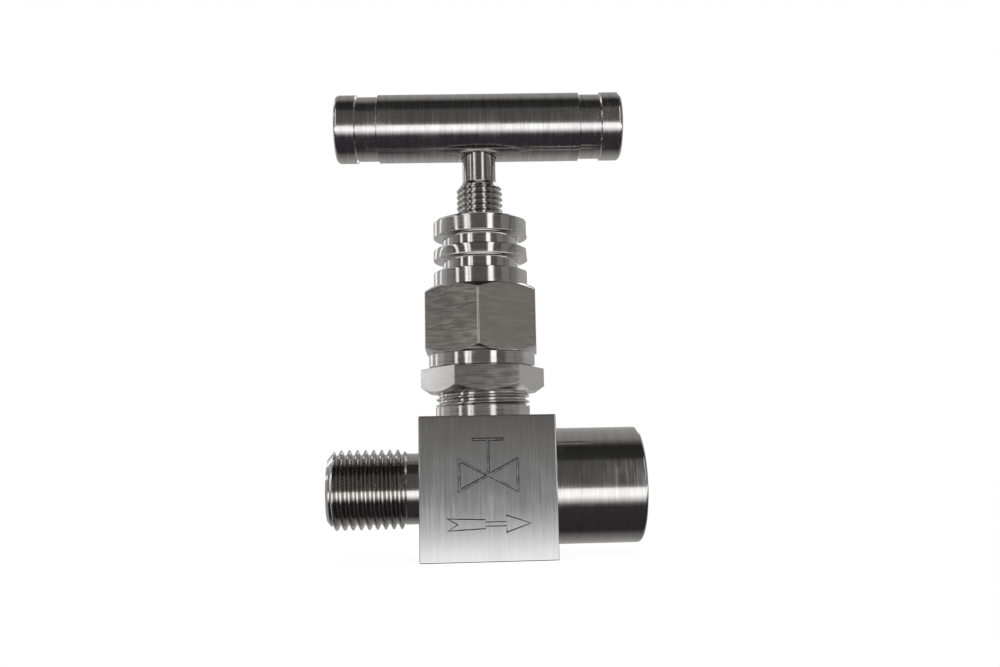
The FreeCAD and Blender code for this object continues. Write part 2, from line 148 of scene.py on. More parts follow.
def pocket(name, outline, depth):
    """A cutter with sloping sides in the shape of an (x, z) outline, for engraving the face."""
    first_x, first_z = outline[0]
    bpy.ops.mesh.primitive_plane_add(size=1, location=(first_x, face_y - cutter_reach, first_z))
    piece = bpy.context.object
    piece.name = name
    bpy.ops.object.transform_apply(location=True)
    bpy.ops.object.mode_set(mode="EDIT")
    bpy.ops.mesh.select_mode(type="VERT")
    bpy.ops.mesh.select_all(action="SELECT")
    bpy.ops.mesh.merge(type="CENTER")
    for (x, z), (next_x, next_z) in zip(outline, outline[1:]):
        step = {"value": (next_x - x, 0, next_z - z)}
        bpy.ops.mesh.extrude_region_move(TRANSFORM_OT_translate=step)
    bpy.ops.mesh.select_all(action="SELECT")
    bpy.ops.mesh.edge_face_add()
    bpy.ops.mesh.extrude_region_move(TRANSFORM_OT_translate={"value": (0, straight_reach, 0)})
    bpy.ops.mesh.inset(thickness=engraved_slope, depth=0)
    bpy.ops.transform.translate(value=(0, cutter_reach - straight_reach + depth, 0))
    bpy.ops.mesh.select_all(action="SELECT")
    bpy.ops.mesh.normals_make_consistent(inside=False)
    bpy.ops.object.mode_set(mode="OBJECT")
    return piece


def stroke(start, stop, depth):
    """A straight engraved line with square ends between two (x, z) points."""
    run, rise = stop[0] - start[0], stop[1] - start[1]
    scale = stroke_width / 2 / math.hypot(run, rise)
    out_x, out_z = run * scale, rise * scale
    return pocket("stroke", [
        (start[0] - out_x - out_z, start[1] - out_z + out_x),
        (start[0] - out_x + out_z, start[1] - out_z - out_x),
        (stop[0] + out_x + out_z, stop[1] + out_z - out_x),
        (stop[0] + out_x - out_z, stop[1] + out_z + out_x)], depth)


bpy.ops.mesh.primitive_cube_add(size=block_size, location=(0, 0, block_size / 2))
valve_body = bpy.context.object
valve_body.name = "forged_body"
valve_body.scale.x = 2 * block_half / block_size
bpy.ops.object.transform_apply(location=True, scale=True)
bpy.ops.object.mode_set(mode="EDIT")
bpy.ops.mesh.bevel(offset=block_edge, offset_type="OFFSET", segments=3, affect="EDGES")
bpy.ops.object.mode_set(mode="OBJECT")

engraving = 0.25
engraved_slope = 0.2
cutter_reach, straight_reach = 1, 0.99
stroke_width = 0.55
arrow_z = 5.85
arrow_upper = [(-6.9, 1.05), (-0.5, 0.79), (-0.5, 0.42), (2.65, 0.42), (2.65, 1.45)]
arrow_lower = [(x, -z) for x, z in reversed(arrow_upper)]
arrow = arrow_upper + [(6.9, 0)] + arrow_lower + [(-5.1, 0)]
combine(valve_body, pocket("arrow", [(x, arrow_z + z) for x, z in arrow], engraving),
        "DIFFERENCE")

sign_z = 13.4
sign_half, sign_rise, sign_stem, sign_bar = 4.6, 2.4, 5.6, 2.3
sign_corners = [(-sign_half, sign_z - sign_rise), (sign_half, sign_z + sign_rise),
                (sign_half, sign_z - sign_rise), (-sign_half, sign_z + sign_rise)]
sign_lines = [(sign_corners[i - 1], sign_corners[i]) for i in range(4)]
sign_lines.append(((0, sign_z), (0, sign_z + sign_stem)))
sign_lines.append(((-sign_bar, sign_z + sign_stem), (sign_bar, sign_z + sign_stem)))
# Each line goes a hair deeper than the one before, so that no two floors lie in one plane.
deeper = 0.004
for count, (first, second) in enumerate(sign_lines):
    combine(valve_body, stroke(first, second, engraving + count * deeper), "DIFFERENCE")

port_crest_r = 13.157 / 2
port_thread_depth = 0.856
port_pitch = 1.337
port_flats = (port_pitch / 6, port_pitch / 6)
port_root_r = port_crest_r - port_thread_depth

spigot_end = -body_low.x
thread_end = 12.905
inlet_crest_at, outlet_crest_at = 18.46, 18.0
clear_of_crest = 0.2
end_lead = 0.4
spigot = threaded("inlet_thread", port_crest_r, port_thread_depth, port_pitch, port_flats,
                  thread_end, spigot_end, inlet_crest_at)
combine(spigot, turned("inlet_chamfers", [
    (port_root_r - 0.4, thread_end - 0.6),
    (port_crest_r + clear_of_crest, thread_end + 0.9),
    (port_crest_r + clear_of_crest, spigot_end - 1.3),
    (port_root_r - 1.1, spigot_end + end_lead)]), "INTERSECT")
lay_along(spigot, -1, flow_z)
combine(valve_body, spigot, "UNION")

weld_overlap = 1
relief_r = 5.85
relief = turned("inlet_relief", [(relief_r, block_half - weld_overlap),
                                 (relief_r, thread_end + 0.1), (relief_r - 0.3, thread_end + 0.4)])
lay_along(relief, -1, flow_z)
combine(valve_body, relief, "UNION")

hub_r = 9.65
hub_end = body_high.x
hub_round, round_steps = 0.5, 5
hub_outline = [(hub_r, block_half - weld_overlap), (hub_r, hub_end - hub_round)]
for step in range(1, round_steps + 1):
    angle = step / round_steps * math.pi / 2
    hub_outline.append((hub_r - hub_round + hub_round * math.cos(angle),
                        hub_end - hub_round + hub_round * math.sin(angle)))
hub = turned("outlet_hub", hub_outline, sides=192)
lay_along(hub, 1, flow_z)
combine(valve_body, hub, "UNION")

neck_r = 7.9
neck_pitch = 1.0
metric_depth = 0.5413
metric_flats = (1 / 8, 1 / 4)
neck_collar_r, neck_collar_edge = 8.0, 0.25
neck_collar_top = block_size + 2.05
neck_top = body_high.z
neck_depth = metric_depth * neck_pitch
neck_flats = tuple(share * neck_pitch for share in metric_flats)
neck_crest_at = 25.4
collar = turned("neck_collar", [
    (neck_collar_r, block_size - weld_overlap), (neck_collar_r, neck_collar_top - neck_collar_edge),
    (neck_collar_r - neck_collar_edge, neck_collar_top)])
combine(valve_body, collar, "UNION")
neck = threaded("neck_thread", neck_r, neck_depth, neck_pitch, neck_flats,
                neck_collar_top - 0.6, neck_top, neck_crest_at)
combine(valve_body, neck, "UNION")

box_floor, seat_z, seat_cone = 27.5, 15.0, 0.82
orifice_r, seat_r, chamber_r, box_r = 2.0, 2.3, 3.75, 5.0
mouth_break = 0.4
below_axis = 0.7
upright = turned("upright_bore", [
    (orifice_r, flow_z - below_axis), (orifice_r, seat_z - seat_cone), (seat_r, seat_z),
    (chamber_r, seat_z), (chamber_r, box_floor), (box_r, box_floor),
    (box_r, neck_top - mouth_break), (box_r + 2 * mouth_break, neck_top + mouth_break)], sides=96)
drill_tip_r = 0.05
inlet_r, inlet_past_axis, inlet_tip = 2.5, 2.4, 1.5
inlet = turned("inlet_bore", [
    (drill_tip_r, -inlet_past_axis - inlet_tip), (inlet_r, -inlet_past_axis),
    (inlet_r, spigot_end - mouth_break), (inlet_r + 2 * mouth_break, spigot_end + mouth_break)],
    sides=96)
lay_along(inlet, -1, flow_z)
port_floor, port_tip = 13.2, 3.44
port_bore_r = port_root_r + 0.03
port_mouth_depth, port_mouth_spread = 1.2, 1.6
port_bore = turned("outlet_bore", [
    (drill_tip_r, port_floor - port_tip), (port_bore_r, port_floor),
    (port_bore_r, hub_end - port_mouth_depth),
    (port_bore_r + port_mouth_spread, hub_end + end_lead)])
port_thread = threaded("outlet_thread", port_crest_r, port_thread_depth, port_pitch, port_flats,
                       port_floor + 1.4, hub_end - 0.6, outlet_crest_at)
lay_along(port_bore, 1, flow_z)
lay_along(port_thread, 1, flow_z)
passage_r, passage_overrun, slant_rise = 2.0, 0.7, 9.4
slant_length = math.hypot(port_floor, slant_rise)
slant = turned("outlet_passage", [(passage_r, -passage_overrun), (passage_r, slant_length)],
               sides=64)
make_active(slant)
slant.rotation_euler.y = -math.atan2(port_floor, slant_rise)
slant.location = (port_floor, 0, flow_z)
bpy.ops.object.transform_apply(location=True, rotation=True)
for hollow in (upright, inlet, port_bore, port_thread, slant):
    combine(valve_body, hollow, "DIFFERENCE")


def finish_mesh(piece):
    """Close and smooth a finished piece, keep its machined edges crisp, and bring it to metres."""
    make_active(piece)
    bpy.ops.object.mode_set(mode="EDIT")
    bpy.ops.mesh.select_mode(type="VERT")
    bpy.ops.mesh.select_all(action="SELECT")
    bpy.ops.mesh.remove_doubles(threshold=1e-3)
    bpy.ops.mesh.select_all(action="DESELECT")
    bpy.ops.mesh.select_non_manifold()
    bpy.ops.mesh.fill_holes(sides=8)
    bpy.ops.object.mode_set(mode="OBJECT")
    piece.scale = (1 / metre, 1 / metre, 1 / metre)
    bpy.ops.object.transform_apply(scale=True)
    bpy.ops.object.shade_smooth_by_angle(angle=math.radians(28))
    apply_modifier(piece, "WEIGHTED_NORMAL", keep_sharp=True, weight=90)


def new_group(name, inputs, outputs):
    """An empty shader group with named float, colour or vector sockets."""
    group = bpy.data.node_groups.new(name, "ShaderNodeTree")
    for label, kind in inputs:
        group.interface.new_socket(label, in_out="INPUT", socket_type="NodeSocket" + kind)
    for label, kind in outputs:
        group.interface.new_socket(label, in_out="OUTPUT", socket_type="NodeSocket" + kind)
    return group, group.nodes.new("NodeGroupInput"), group.nodes.new("NodeGroupOutput")


def add_noise(tree, vector, scale, detail):
    """Cloudy values that follow a vector."""
    noise = tree.nodes.new("ShaderNodeTexNoise")
    noise.inputs["Scale"].default_value = scale
    noise.inputs["Detail"].default_value = detail
    tree.links.new(vector, noise.inputs["Vector"])
    return noise.outputs["Fac"]


def add_range(tree, value, low, high, to_low=0.0, to_high=1.0):
    """Stretch a value from one range to another, held at its ends."""
    stretch = tree.nodes.new("ShaderNodeMapRange")
    for label, number in (("From Min", low), ("From Max", high),
                          ("To Min", to_low), ("To Max", to_high)):
        stretch.inputs[label].default_value = number
    tree.links.new(value, stretch.inputs["Value"])
    return stretch.outputs["Result"]


def add_math(tree, operation, first, second):
    """One sum of two values; either may be a plain number."""
    step = tree.nodes.new("ShaderNodeMath")
    step.operation = operation
    for socket, value in zip(step.inputs, (first, second)):
        if isinstance(value, (int, float)):
            socket.default_value = value
        else:
            tree.links.new(value, socket)
    return step.outputs["Value"]


def add_mapping(tree, vector, scale, turn=(0, 0, 0)):
    """Stretch and turn a vector."""
    mapping = tree.nodes.new("ShaderNodeMapping")
    mapping.inputs["Scale"].default_value = scale
    mapping.inputs["Rotation"].default_value = turn
    tree.links.new(vector, mapping.inputs["Vector"])
    return mapping.outputs["Vector"]


# The lines that a cutting edge leaves: fine ones side by side, and broader waves under them.
cutter_lines, given, result = new_group(
    "cutter_lines", [("Vector", "Vector")], [("Lines", "Float"), ("Waves", "Float")])
fine_lines = add_noise(cutter_lines, given.outputs["Vector"], 1.0, 2.0)
waves = add_noise(cutter_lines, given.outputs["Vector"], 0.23, 1.0)
cutter_lines.links.new(add_range(cutter_lines, fine_lines, 0.3, 0.7), result.inputs["Lines"])
cutter_lines.links.new(add_range(cutter_lines, waves, 0.3, 0.7), result.inputs["Waves"])

# What handling leaves: dull patches from fingers, and hairline scratches in two directions.
handling_marks, given, result = new_group(
    "handling_marks", [("Vector", "Vector")], [("Smudges", "Float"), ("Scratches", "Float")])
smudges = add_noise(handling_marks, given.outputs["Vector"], 170.0, 4.0)
handling_marks.links.new(add_range(handling_marks, smudges, 0.45, 0.7), result.inputs["Smudges"])
hairlines = []
for scale, turn in (((5200, 260, 700), (0.3, 0.5, 0.8)), ((700, 300, 6100), (-0.5, 0.35, 0.2))):
    along_hair = add_mapping(handling_marks, given.outputs["Vector"], scale, turn)
    hairlines.append(add_range(handling_marks, add_noise(handling_marks, along_hair, 1.0, 0.0),
                               0.85, 0.9))
both_ways = add_math(handling_marks, "MAXIMUM", hairlines[0], hairlines[1])
handling_marks.links.new(both_ways, result.inputs["Scratches"])

# Painted highlight along edges: marked in patches where the rounded-over normal leaves the true one.
rubbed_edges, given, result = new_group("rubbed_edges", [("Vector", "Vector")], [("Painted Highlight", "Float")])
rounded = rubbed_edges.nodes.new("ShaderNodeBevel")
rounded.samples = 6
rounded.inputs["Radius"].default_value = 0.00012
surface = rubbed_edges.nodes.new("ShaderNodeNewGeometry")
agreement = rubbed_edges.nodes.new("ShaderNodeVectorMath")
agreement.operation = "DOT_PRODUCT"
rubbed_edges.links.new(rounded.outputs["Normal"], agreement.inputs[0])
rubbed_edges.links.new(surface.outputs["Normal"], agreement.inputs[1])
painted_highlight_mask = add_range(rubbed_edges, agreement.outputs["Value"], 0.99, 0.86)
patchy = add_range(rubbed_edges, add_noise(rubbed_edges, given.outputs["Vector"], 900.0, 2.0),
                   0.3, 0.6, 0.4, 1.0)
rubbed_edges.links.new(add_math(rubbed_edges, "MULTIPLY", painted_highlight_mask, patchy), result.inputs["Painted Highlight"])

line_share = 0.6
scratch_dullness, scratch_depth = 0.04, 0.15
# Colour of the painted edge highlight.
painted_edge_highlight_colour = (0.88, 0.87, 0.85)


def cut_steel(name, light, dark, roughness, line_scale, line_depth=0.000006, smudge=0.08):
    """Machined stainless steel. The line scale is per metre, large across the lines."""
    steel = bpy.data.materials.new(name)
    steel.use_nodes = True
    tree = steel.node_tree
    shader = tree.nodes["Principled BSDF"]
    shader.inputs["Metallic"].default_value = 1.0
    place = tree.nodes.new("ShaderNodeTexCoord").outputs["Object"]
    groups = {}
    for group in (cutter_lines, handling_marks, rubbed_edges):
        groups[group.name] = tree.nodes.new("ShaderNodeGroup")
        groups[group.name].node_tree = group
        source = add_mapping(tree, place, line_scale) if group == cutter_lines else place
        tree.links.new(source, groups[group.name].inputs["Vector"])
    lines = groups["cutter_lines"].outputs["Lines"]
    waves = groups["cutter_lines"].outputs["Waves"]
    smudges = groups["handling_marks"].outputs["Smudges"]
    scratches = groups["handling_marks"].outputs["Scratches"]
    edge = groups["rubbed_edges"].outputs["Painted Highlight"]

    tone = add_math(tree, "MULTIPLY_ADD", lines, line_share)
    tree.links.new(add_math(tree, "MULTIPLY", waves, 1 - line_share), tone.node.inputs[2])
    colour = tree.nodes.new("ShaderNodeMix")
    colour.data_type = "RGBA"
    colour.inputs["A"].default_value = (*dark, 1)
    colour.inputs["B"].default_value = (*light, 1)
    tree.links.new(tone, colour.inputs["Factor"])
    # Painted highlight: along edges the colour is lifted toward a pale grey.
    painted_highlight_mix = tree.nodes.new("ShaderNodeMix")
    painted_highlight_mix.data_type = "RGBA"
    painted_highlight_mix.inputs["B"].default_value = (*painted_edge_highlight_colour, 1)
    tree.links.new(edge, painted_highlight_mix.inputs["Factor"])
    tree.links.new(colour.outputs["Result"], painted_highlight_mix.inputs["A"])
    tree.links.new(painted_highlight_mix.outputs["Result"], shader.inputs["Base Color"])

    dullness = add_math(tree, "MULTIPLY_ADD", smudges, smudge)
    tree.links.new(add_range(tree, lines, 0, 1, roughness - 0.03, roughness + 0.05),
                   dullness.node.inputs[2])
    scuffed = add_math(tree, "MULTIPLY_ADD", scratches, scratch_dullness)
    tree.links.new(dullness, scuffed.node.inputs[2])
    tree.links.new(scuffed, shader.inputs["Roughness"])

    relief = add_math(tree, "MULTIPLY_ADD", scratches, -scratch_depth)
    tree.links.new(tone, relief.node.inputs[2])
    bump = tree.nodes.new("ShaderNodeBump")
    bump.inputs["Distance"].default_value = line_depth
    tree.links.new(relief, bump.inputs["Height"])
    tree.links.new(bump.outputs["Normal"], shader.inputs["Normal"])
    return steel


def in_place(piece, body, slot, *nodes):
    """Hand a finished piece over: the body it moves with, and what it stands for. The slot is not
    used.
    """
    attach(piece, body)
    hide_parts(*nodes)


lines_round_x = (4200, 260, 260)
lines_round_z = (260, 260, 4200)
brushed_upright = (6800, 6800, 150)
face_steel = cut_steel("block_brushed_steel", (0.62, 0.62, 0.625), (0.545, 0.545, 0.55), 0.05,
                       brushed_upright, line_depth=0.0000025, smudge=0.05)
port_steel = cut_steel("port_turned_steel", (0.6, 0.59, 0.57), (0.47, 0.46, 0.44), 0.07,
                       lines_round_x, line_depth=0.0000012)
neck_steel = cut_steel("neck_turned_steel", (0.6, 0.58, 0.56), (0.48, 0.46, 0.44), 0.12,
                       lines_round_z, line_depth=0.000002)
# Bore walls: a rougher finish, and a darker colour that is painted shade.
bore_steel_painted_shade = cut_steel("bore_steel_painted_shade", (0.42, 0.4, 0.38), (0.3, 0.29, 0.28), 0.32, lines_round_x)
# Engraving: the arrow's walls and the sign's strokes get a darker colour, which is painted shade.
engraving_steel_painted_shade = cut_steel("engraving_steel_painted_shade", (0.36, 0.36, 0.37), (0.26, 0.26, 0.27), 0.16,
                           (900, 900, 900), smudge=0.05)
for steel in (face_steel, port_steel, neck_steel, bore_steel_painted_shade, engraving_steel_painted_shade):
    valve_body.data.materials.append(steel)
on_face, on_port, on_neck, in_bore, in_engraving = range(5)
just_past, well_inside, facing_axis = 0.01, 0.3, 0.1
engraving_low, engraving_high, engraving_half = 2, 21, 8
arrow_high = 8
for face in valve_body.data.polygons:
    x, y, z = face.center
    across, rise = math.hypot(y, z - flow_z), math.hypot(x, y)
    inside = max(abs(x) - block_half, abs(y) - block_size / 2, -z, z - block_size) < -well_inside
    if z > block_size + just_past:
        inward = face.normal.x * x + face.normal.y * y < -facing_axis * rise
        face.material_index = in_bore if inward else on_neck
    elif abs(x) > block_half + just_past:
        inward = face.normal.y * y + face.normal.z * (z - flow_z) < -facing_axis * across
        face.material_index = in_bore if inward else on_port
    elif inside:
        face.material_index = in_bore
    elif abs(x) < engraving_half and engraving_low < z < engraving_high and face_y + 0.003 < y < 0:
        # The arrow's floor keeps the face colour; the rest of the engraving gets the painted shade.
        arrow_floor = z < arrow_high and face.normal.y < -0.99
        face.material_index = on_face if arrow_floor else in_engraving
finish_mesh(valve_body)
in_place(valve_body, "body", "block_steel", "valve_body")


# ============================================================================================
# Lock nut. A thin stainless hexagon nut, chamfered on its lower face and tapped to run on the
# neck; it jams up against the bonnet.
# ============================================================================================
nut_flats = 18.2
nut_low, nut_high = (corner.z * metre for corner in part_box("lock_nut"))
nut_turn = 1.3
nut_corner = 0.12
first_corner = 90
hex_face_share, hex_chamfer = 0.985, math.radians(35)
overrun = 1
dish_width, dish_depth = 1.2, 0.02
thread_gap, tap_overrun = 0.05, 0.5


def hexagon(name, flats, low, high, turn, corner, chamfers):
    """A hexagon bar with softened edges, turned off to a shallow cone at the ends named."""
    corner_r = flats / math.sqrt(3)
    bar = turned(name, [(corner_r, low), (corner_r, high)], sides=6)
    make_active(bar)
    bpy.ops.object.mode_set(mode="EDIT")
    bpy.ops.mesh.select_all(action="SELECT")
    bpy.ops.mesh.bevel(offset=corner, offset_type="OFFSET", segments=4, affect="EDGES")
    bpy.ops.object.mode_set(mode="OBJECT")
    bar.rotation_euler.z = math.radians(turn - first_corner)
    bpy.ops.object.transform_apply(rotation=True)
    face_r, past_corner_r = hex_face_share * flats / 2, corner_r + overrun
    drop = (past_corner_r - face_r) * math.tan(hex_chamfer)
    low_end, high_end = [(past_corner_r, low - overrun)], [(past_corner_r, high + overrun)]
    if "low" in chamfers:
        low_end = [(face_r - dish_width, low - dish_depth), (face_r, low),
                   (past_corner_r, low + drop)]
    if "high" in chamfers:
        high_end = [(past_corner_r, high - drop), (face_r, high),
                    (face_r - dish_width, high + dish_depth)]
    combine(bar, turned("turning", low_end + high_end, sides=192), "INTERSECT")
    return bar


lock_nut = hexagon("thin_hex_nut", nut_flats, nut_low, nut_high, nut_turn, nut_corner,
                   ("low",))
combine(lock_nut, threaded("nut_thread", neck_r + thread_gap, neck_depth, neck_pitch, neck_flats,
                           nut_low - tap_overrun, nut_high + tap_overrun, neck_crest_at, sides=96),
        "DIFFERENCE")
mouth_spread, mouth_depth, mouth_lead = 0.8, 0.8, 0.6
for mouth_z, mouth_way in ((nut_low, -1), (nut_high, 1)):
    mouth = [(neck_r - mouth_spread, mouth_z - mouth_depth * mouth_way),
             (neck_r + mouth_spread, mouth_z + mouth_lead * mouth_way)]
    combine(lock_nut, turned("nut_mouth", mouth[::mouth_way], sides=96), "DIFFERENCE")
satin_round_z = (420, 420, 2600)
lock_nut.data.materials.append(
    cut_steel("nut_satin_steel", (0.62, 0.61, 0.59), (0.54, 0.53, 0.52), 0.14, satin_round_z,
              line_depth=0.0000006, smudge=0.06))
finish_mesh(lock_nut)
in_place(lock_nut, "body", "nut_steel", "lock_nut")


# ============================================================================================
# Needle, thrust ball and retaining ring. Hardened stainless: the needle's cone is ground, the
# ball is a bearing ball, and the spring steel ring holds both in the stem's foot.
# ============================================================================================
def dress(node, material):
    """Give a piece of the frame its finish."""
    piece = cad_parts[node]
    piece.data.materials.clear()
    piece.data.materials.append(material)


dress("needle", cut_steel("ground_needle_steel", (0.7, 0.7, 0.69), (0.6, 0.6, 0.58), 0.12,
                          lines_round_z, line_depth=0.000002, smudge=0.03))
dress("thrust_ball", cut_steel("polished_ball_steel", (0.82, 0.82, 0.82), (0.76, 0.76, 0.77), 0.05,
                               (900, 900, 900), line_depth=0.0000005, smudge=0.02))
dress("needle_retainer", cut_steel("spring_ring_steel", (0.5, 0.49, 0.47), (0.38, 0.37, 0.36),
                                   0.3, lines_round_z, smudge=0.05))


# ============================================================================================
# Stem. Turned from stainless bar: a foot that holds the needle's head and the ball, a polished
# shank for the packing, the operating thread, and a plain top with a flat for the set screw.
# ============================================================================================
stem_low, stem_high = (corner.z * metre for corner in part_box("stem"))
foot_r, shank_r, thread_core_r, top_r = 3.5, 3.0, 3.35, 2.9
foot_top = stem_low + 2.9
stem_crest_r, stem_pitch = 3.95, 1.0
stem_depth = metric_depth * stem_pitch
stem_thread_low, stem_thread_high = 47.0, 62.9
stem_crest_at = 60.46
edge_break, top_break = 0.25, 0.3

stem = turned("turned_stem", [
    (foot_r - edge_break, stem_low), (foot_r, stem_low + edge_break),
    (foot_r, foot_top - edge_break), (foot_r - edge_break, foot_top), (shank_r, foot_top + 0.02),
    (shank_r, stem_thread_low - 0.4), (thread_core_r, stem_thread_low + 0.3),
    (thread_core_r, stem_thread_high - 0.2), (top_r, stem_thread_high + 0.5),
    (top_r, stem_high - top_break), (top_r - top_break, stem_high)], sides=96)
stem_thread = threaded("stem_thread", stem_crest_r, stem_depth, stem_pitch, neck_flats,
                       stem_thread_low, stem_thread_high, stem_crest_at, sides=96)
lead_in, lead_in_length = 0.1, 0.9
combine(stem_thread, turned("thread_ends", [
    (shank_r + lead_in, stem_thread_low - lead_in),
    (stem_crest_r + clear_of_crest, stem_thread_low + lead_in_length),
    (stem_crest_r + clear_of_crest, stem_thread_high - lead_in_length),
    (shank_r + lead_in, stem_thread_high + lead_in)]), "INTERSECT")
combine(stem, stem_thread, "UNION")
socket_r, socket_gap = 2.0, 0.05
ring_low, ring_high = (corner.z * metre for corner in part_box("needle_retainer"))
retainer_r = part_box("needle_retainer")[1].x * metre
ball_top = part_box("thrust_ball")[1].z * metre
hair = 0.001
socket = turned("needle_socket", [
    (socket_r - 0.5, stem_low - 0.3), (socket_r, stem_low + 0.04), (socket_r, ring_low - socket_gap),
    (retainer_r + socket_gap, ring_low - socket_gap + hair),
    (retainer_r + socket_gap, ring_high + socket_gap),
    (socket_r, ring_high + socket_gap + hair), (socket_r, ball_top)], sides=96)
combine(stem, socket, "DIFFERENCE")

handle_turn = math.radians(-2.9)
handle_z = 73.4
flat_y, flat_length = top_r - 0.4, 5.2
bpy.ops.mesh.primitive_cube_add(size=flat_length,
                                location=(0, flat_y + flat_length / 2, handle_z))
flat = bpy.context.object
bpy.ops.object.transform_apply(location=True)
flat.rotation_euler.z = handle_turn
bpy.ops.object.transform_apply(rotation=True)
combine(stem, flat, "DIFFERENCE")
stem.data.materials.append(
    cut_steel("stem_turned_steel", (0.54, 0.52, 0.5), (0.42, 0.4, 0.38), 0.14, lines_round_z,
              line_depth=0.000002))
finish_mesh(stem)
in_place(stem, "stem", "stem_steel", "stem")


# ============================================================================================
# Packing. White fluoropolymer rings between lipped end rings and two stainless washers, dropped
# into the stuffing box round the shank, with the gland follower's sleeve on top of them.
# ============================================================================================
def packing_polymer():
    """Pressed fluoropolymer: milky white, waxy, with the mould's faint cloudiness."""
    polymer = bpy.data.materials.new("packing_fluoropolymer")
    polymer.use_nodes = True
    tree = polymer.node_tree
    shader = tree.nodes["Principled BSDF"]
    shader.inputs["IOR"].default_value = 1.37
    shader.inputs["Subsurface Weight"].default_value = 0.15
    shader.inputs["Subsurface Radius"].default_value = (0.0006, 0.0006, 0.0006)
    place = tree.nodes.new("ShaderNodeTexCoord").outputs["Object"]
    cloud = add_noise(tree, place, 700.0, 5.0)
    colour = tree.nodes.new("ShaderNodeMix")
    colour.data_type = "RGBA"
    colour.inputs["A"].default_value = (0.8, 0.79, 0.76, 1)
    colour.inputs["B"].default_value = (0.93, 0.93, 0.91, 1)
    tree.links.new(cloud, colour.inputs["Factor"])
    tree.links.new(colour.outputs["Result"], shader.inputs["Base Color"])
    tree.links.new(add_range(tree, cloud, 0.3, 0.7, 0.38, 0.55), shader.inputs["Roughness"])
    bump = tree.nodes.new("ShaderNodeBump")
    bump.inputs["Distance"].default_value = 0.00001
    tree.links.new(cloud, bump.inputs["Height"])
    tree.links.new(bump.outputs["Normal"], shader.inputs["Normal"])
    return polymer


white_polymer = packing_polymer()
for node in ("packing_male_ring", "packing_ring_1", "packing_ring_2", "packing_ring_3",
             "packing_female_ring"):
    dress(node, white_polymer)
washer_steel = cut_steel("washer_steel", (0.62, 0.62, 0.6), (0.5, 0.5, 0.49), 0.26, lines_round_z)
for node in ("lower_packing_washer", "upper_packing_washer"):
    dress(node, washer_steel)
dress("gland_follower", cut_steel("gland_turned_steel", (0.62, 0.61, 0.59), (0.48, 0.47, 0.46),
                                  0.22, lines_round_z))


# ============================================================================================
# Bonnet. One piece turned from stainless hexagon bar: a collar below, the hexagon for the
# spanner, and three rings above it. It screws down over the neck; the stem runs in its top.
# ============================================================================================
bonnet_low, bonnet_high = (corner.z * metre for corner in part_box("bonnet"))
bonnet_flats = 18.45
bonnet_turn = 24.0
spanner_corner = 0.25
hex_low, hex_high = 33.3, 44.7
collar_r, collar_edge = 9.05, 0.3
ring_r, groove_r, groove_fillet = 8.075, 6.5, 0.15
low_ring_top, mid_ring_low, mid_ring_top, top_ring_low = 47.57, 49.67, 51.52, 53.62


def rounded_ring(low, high, low_edge, high_edge):
    """(radius, height) points of a ring whose rims are rounded over."""
    points = []
    for edge, centre_z, first in ((low_edge, low + low_edge, -90), (high_edge, high - high_edge, 0)):
        for step in range(4):
            angle = math.radians(first + 30 * step)
            points.append((ring_r - edge + edge * math.cos(angle),
                           centre_z + edge * math.sin(angle)))
    return points


def turned_groove(low, high):
    """(radius, height) points of a groove between two rings, with a fillet at each corner."""
    return [(groove_r + groove_fillet, low + 0.01), (groove_r, low + groove_fillet),
            (groove_r, high - groove_fillet), (groove_r + groove_fillet, high - 0.01)]


inside_hexagon = hex_low + 0.5
bonnet_outline = [(collar_r - collar_edge, bonnet_low), (collar_r, bonnet_low + collar_edge),
                  (collar_r, inside_hexagon), (ring_r, inside_hexagon + 0.01), (ring_r, hex_high)]
bonnet_outline += rounded_ring(hex_high, low_ring_top, 0.12, 0.25)[4:]
bonnet_outline += turned_groove(low_ring_top, mid_ring_low)
bonnet_outline += rounded_ring(mid_ring_low, mid_ring_top, 0.1, 0.3)
bonnet_outline += turned_groove(mid_ring_top, top_ring_low)
bonnet_outline += rounded_ring(top_ring_low, bonnet_high, 0.15, 0.45)
bonnet = turned("turned_bonnet", bonnet_outline, sides=192)
spanner_hex = hexagon("spanner_hexagon", bonnet_flats, hex_low, hex_high, bonnet_turn,
                      spanner_corner, ("low", "high"))
combine(bonnet, spanner_hex, "UNION")
roof_z = 42.0
combine(bonnet, threaded("bonnet_thread", neck_r + thread_gap, neck_depth, neck_pitch, neck_flats,
                         bonnet_low - tap_overrun, neck_top + 0.2, neck_crest_at, sides=96),
        "DIFFERENCE")
bonnet_bore_r = neck_r + 0.06
combine(bonnet, turned("bonnet_bore", [(bonnet_bore_r, neck_top - 1), (bonnet_bore_r, roof_z)],
                       sides=96), "DIFFERENCE")
combine(bonnet, turned("bonnet_mouth", [(neck_r + 0.5, bonnet_low - 0.5),
                                        (neck_r - 0.6, bonnet_low + 0.6)], sides=96), "DIFFERENCE")
combine(bonnet, threaded("stem_tapping", stem_crest_r + thread_gap, stem_depth, stem_pitch,
                         neck_flats, roof_z - 0.6, bonnet_high + tap_overrun, stem_crest_at,
                         sides=96), "DIFFERENCE")
combine(bonnet, turned("tapped_mouth", [(stem_crest_r - 0.55, bonnet_high - 0.7),
                                        (stem_crest_r + 0.75, bonnet_high + 0.6)], sides=96),
        "DIFFERENCE")
hex_steel = cut_steel("hexagon_satin_steel", (0.58, 0.55, 0.51), (0.5, 0.47, 0.43), 0.15,
                      satin_round_z, line_depth=0.0000004, smudge=0.05)
ring_steel = cut_steel("ring_turned_steel", (0.64, 0.63, 0.62), (0.52, 0.51, 0.5), 0.08,
                       lines_round_z, line_depth=0.0000015)
bonnet.data.materials.append(ring_steel)
bonnet.data.materials.append(hex_steel)
on_hexagon, clear_of_rings = 1, 0.3
